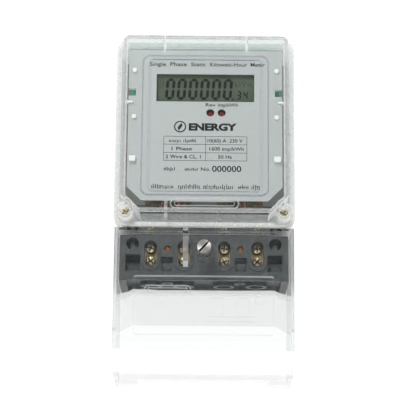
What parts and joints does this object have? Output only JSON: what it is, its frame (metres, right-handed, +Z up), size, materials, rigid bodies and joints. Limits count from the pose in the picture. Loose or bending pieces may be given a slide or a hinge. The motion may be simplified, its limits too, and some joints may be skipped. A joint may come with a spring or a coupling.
{
  "type": "static electricity meter",
  "caption": "Single-phase static kilowatt-hour meter with a clear main cover, a display, a screw terminal block and a long clear terminal cover.",
  "frame": {"origin": "on the wall face, at the middle of the case's width, 77.4 mm below the top of its rim", "axes": "+X to the viewer's right, +Y into the wall, +Z up; the front faces -Y"},
  "size_m": [0.112, 0.0625, 0.2152],
  "materials": {
    "frosted_case": "pale frosted polycarbonate, fine moulded texture",
    "clear_cover": "clear glossy polycarbonate",
    "silicone": "translucent pale amber silicone",
    "black_phenolic": "black compression-moulded phenolic, slightly mottled",
    "terminal_brass": "machined brass, slightly dulled",
    "brass_insert": "turned brass",
    "yellow_zinc": "steel with iridescent yellow zinc plating",
    "zinc_steel": "bright zinc-plated steel",
    "nickel_brass": "nickel-plated brass, satin turned",
    "copper": "bare copper strip with a resistance alloy bar",
    "circuit_board": "green solder mask over glass laminate",
    "chip_plastic": "black moulded epoxy with tinned legs",
    "nickel_can": "nickel-plated can",
    "yellow_film": "yellow moulded box",
    "can_sleeve": "dark blue shrink sleeve",
    "blue_epoxy": "blue dipped epoxy",
    "white_plastic": "white moulded plastic",
    "red_insulation": "red PVC insulation",
    "black_insulation": "black PVC insulation",
    "plate_print": null,
    "display_glass": "display glass, green-grey",
    "display_back": "green-grey reflective film",
    "zebra_rubber": "black rubber",
    "red_led": "tinted dark red epoxy"
  },
  "bodies": {
    "case": {"base_case": "frosted_case", "cover_seal": "silicone", "rim_inserts": "brass_insert", "terminal_block": "black_phenolic", "block_screws": "zinc_steel", "main_terminal_1": "terminal_brass", "main_terminal_2": "terminal_brass", "main_terminal_3": "terminal_brass", "main_terminal_4": "terminal_brass", "pulse_terminal_left": "terminal_brass", "pulse_terminal_right": "terminal_brass", "cover_screw_insert": "brass_insert", "current_shunt": "copper", "neutral_link": "copper", "circuit_board": "circuit_board", "board_screws": "zinc_steel", "metering_chip": "chip_plastic", "microcontroller": "chip_plastic", "crystal": "nickel_can", "optocoupler": "white_plastic", "film_capacitor": "yellow_film", "electrolytic_capacitors": "can_sleeve", "varistor": "blue_epoxy", "chip_resistors": "chip_plastic", "wire_headers": "white_plastic", "shunt_wires": "red_insulation", "pulse_wires": "red_insulation", "neutral_wire": "black_insulation", "dial_bracket": "white_plastic", "nameplate": "plate_print", "lcd_front_glass": "display_glass", "lcd_rear_glass": "display_glass", "lcd_reflector": "display_back", "lcd_contact_strips": "zebra_rubber", "led_reverse": "red_led", "led_pulse": "red_led"},
    "main_cover": {"main_cover": "clear_cover"},
    "terminal_cover": {"terminal_cover": "clear_cover", "screw_retaining_ring": "zebra_rubber"},
    "clamp_screw_1_upper": {"clamp_screw_1_upper": "yellow_zinc"},
    "clamp_screw_1_lower": {"clamp_screw_1_lower": "yellow_zinc"},
    "clamp_screw_2_upper": {"clamp_screw_2_upper": "yellow_zinc"},
    "clamp_screw_2_lower": {"clamp_screw_2_lower": "yellow_zinc"},
    "clamp_screw_3_upper": {"clamp_screw_3_upper": "yellow_zinc"},
    "clamp_screw_3_lower": {"clamp_screw_3_lower": "yellow_zinc"},
    "clamp_screw_4_upper": {"clamp_screw_4_upper": "yellow_zinc"},
    "clamp_screw_4_lower": {"clamp_screw_4_lower": "yellow_zinc"},
    "pulse_screw_left": {"pulse_screw_left": "brass_insert"},
    "pulse_screw_right": {"pulse_screw_right": "brass_insert"},
    "seal_screw_left": {"seal_screw_left": "zinc_steel"},
    "seal_screw_right": {"seal_screw_right": "zinc_steel"},
    "terminal_cover_screw": {"terminal_cover_screw": "nickel_brass"}
  },
  "joints": [
    {"name": "main_cover_removal", "type": "slide", "parent": "case", "child": "main_cover", "axis": [0, -1, 0], "range_m": [0, 0.06]},
    {"name": "terminal_cover_removal", "type": "slide", "parent": "case", "child": "terminal_cover", "axis": [0, -1, 0], "range_m": [0, 0.07]},
    {"name": "terminal_cover_screw_turn", "type": "hinge", "parent": "terminal_cover", "child": "terminal_cover_screw", "pos_m": [0, -0.045, -0.062], "axis": [0, -1, 0], "continuous": true},
    {"name": "seal_screw_left_turn", "type": "hinge", "parent": "main_cover", "child": "seal_screw_left", "pos_m": [-0.0488, -0.04, -0.0363], "axis": [0, -1, 0], "continuous": true},
    {"name": "seal_screw_right_turn", "type": "hinge", "parent": "main_cover", "child": "seal_screw_right", "pos_m": [0.0488, -0.04, -0.0363], "axis": [0, -1, 0], "continuous": true},
    {"name": "clamp_screw_1_upper_turn", "type": "hinge", "parent": "case", "child": "clamp_screw_1_upper", "pos_m": [-0.0329, -0.025, -0.0563], "axis": [0, -1, 0], "continuous": true},
    {"name": "clamp_screw_1_lower_turn", "type": "hinge", "parent": "case", "child": "clamp_screw_1_lower", "pos_m": [-0.0329, -0.025, -0.0648], "axis": [0, -1, 0], "continuous": true},
    {"name": "clamp_screw_2_upper_turn", "type": "hinge", "parent": "case", "child": "clamp_screw_2_upper", "pos_m": [-0.0125, -0.025, -0.0563], "axis": [0, -1, 0], "continuous": true},
    {"name": "clamp_screw_2_lower_turn", "type": "hinge", "parent": "case", "child": "clamp_screw_2_lower", "pos_m": [-0.0125, -0.025, -0.0648], "axis": [0, -1, 0], "continuous": true},
    {"name": "clamp_screw_3_upper_turn", "type": "hinge", "parent": "case", "child": "clamp_screw_3_upper", "pos_m": [0.0125, -0.025, -0.0563], "axis": [0, -1, 0], "continuous": true},
    {"name": "clamp_screw_3_lower_turn", "type": "hinge", "parent": "case", "child": "clamp_screw_3_lower", "pos_m": [0.0125, -0.025, -0.0648], "axis": [0, -1, 0], "continuous": true},
    {"name": "clamp_screw_4_upper_turn", "type": "hinge", "parent": "case", "child": "clamp_screw_4_upper", "pos_m": [0.0329, -0.025, -0.0563], "axis": [0, -1, 0], "continuous": true},
    {"name": "clamp_screw_4_lower_turn", "type": "hinge", "parent": "case", "child": "clamp_screw_4_lower", "pos_m": [0.0329, -0.025, -0.0648], "axis": [0, -1, 0], "continuous": true},
    {"name": "pulse_screw_left_turn", "type": "hinge", "parent": "case", "child": "pulse_screw_left", "pos_m": [-0.0225, -0.03, -0.0577], "axis": [0, -1, 0], "continuous": true},
    {"name": "pulse_screw_right_turn", "type": "hinge", "parent": "case", "child": "pulse_screw_right", "pos_m": [0.0225, -0.03, -0.0577], "axis": [0, -1, 0], "continuous": true}
  ]
}
